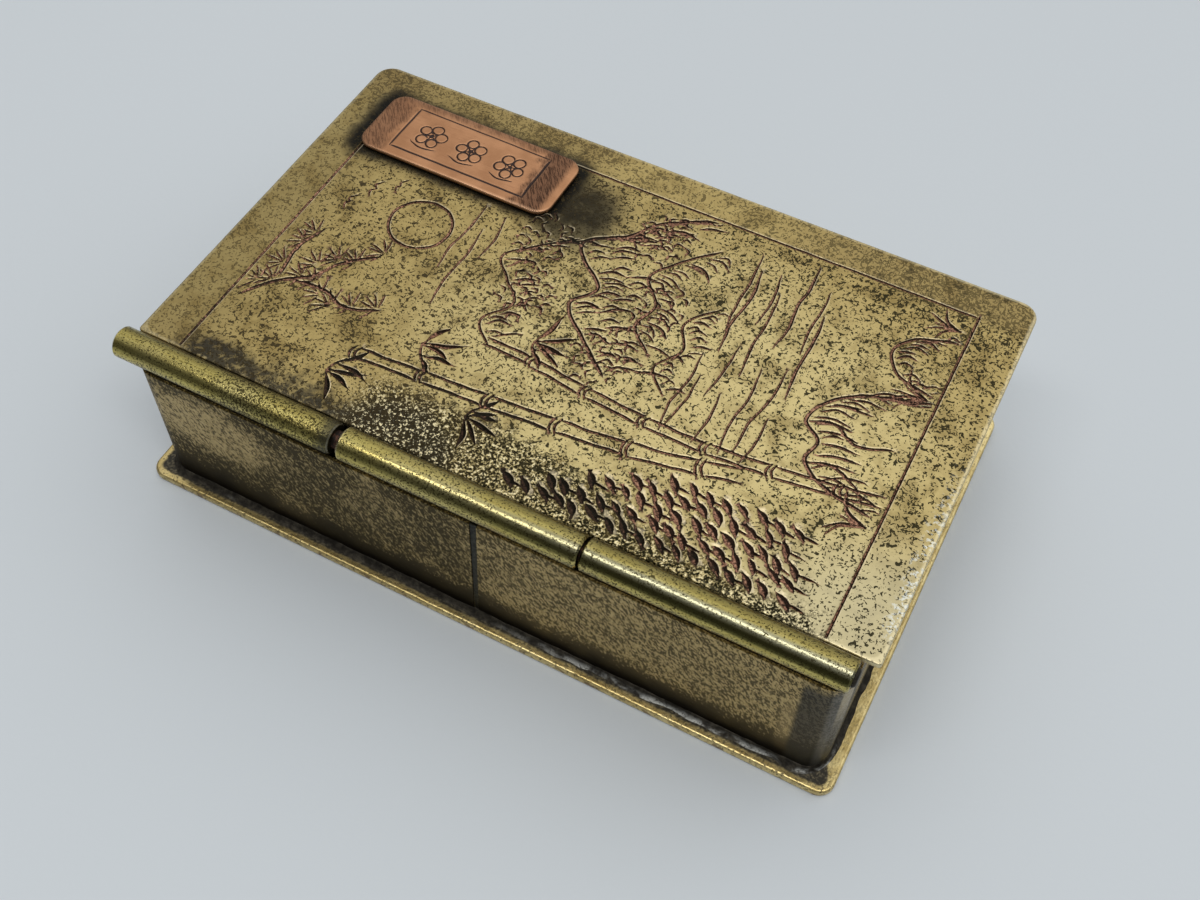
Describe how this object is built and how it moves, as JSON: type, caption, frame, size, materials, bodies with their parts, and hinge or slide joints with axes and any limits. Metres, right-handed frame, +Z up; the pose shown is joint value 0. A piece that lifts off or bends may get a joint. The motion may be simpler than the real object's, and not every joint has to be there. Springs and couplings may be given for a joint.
{
  "type": "hinged ink box",
  "caption": "Flat rectangular brass ink box in the form of a book: engraved lid on a barrel hinge along one long side, copper title plaque, ink pad and slate inside.",
  "frame": {"origin": "centre of the base plate's flat underside", "axes": "+X along the hinge barrel, -Y towards the hinge side, +Z up; the lid is shut"},
  "size_m": [0.122, 0.077, 0.0312],
  "materials": {
    "brass_lid": "pale olive brass, engraved, dark pitted patina, worn edges",
    "brass_wall": "dark gold-brown brass, fine speckled patina, nearly black at the foot",
    "brass_base": "dark patina with bright worn edges",
    "brass_barrel": "polished yellow brass with fine dark specks",
    "brass_inner": "brushed yellow brass, ink-stained",
    "copper_plaque": "satin copper with darkened ends",
    "copper_tray": "dull copper, ink-stained",
    "solder": "lumpy dark grey solder",
    "pin_steel": "darkened wire",
    "cement": "dark resin cement",
    "slate": "honed black slate",
    "floss": "silk floss soaked in black ink"
  },
  "bodies": {
    "case": {"base_plate": "brass_base", "wall_band": "brass_wall", "wall_seam_solder": "solder", "base_solder_bead": "solder", "left_knuckle": "brass_barrel", "right_knuckle": "brass_barrel", "left_knuckle_solder": "solder", "right_knuckle_solder": "solder", "hinge_pin": "pin_steel", "pin_end_solder": "solder", "ink_tray": "copper_tray", "ink_floss": "floss"},
    "lid": {"lid_plate": "brass_lid", "middle_knuckle": "brass_barrel", "lid_knuckle_solder": "solder", "title_plaque": "copper_plaque", "plaque_solder": "solder", "slate_frame": "brass_inner", "slate_frame_solder": "solder", "slate_bedding": "cement", "slate_plate": "slate"}
  },
  "joints": [
    {"name": "lid_hinge", "type": "hinge", "parent": "case", "child": "lid", "pos_m": [0, -0.03342, 0.02865], "axis": [1, 0, 0], "range_deg": [0, 180]}
  ]
}
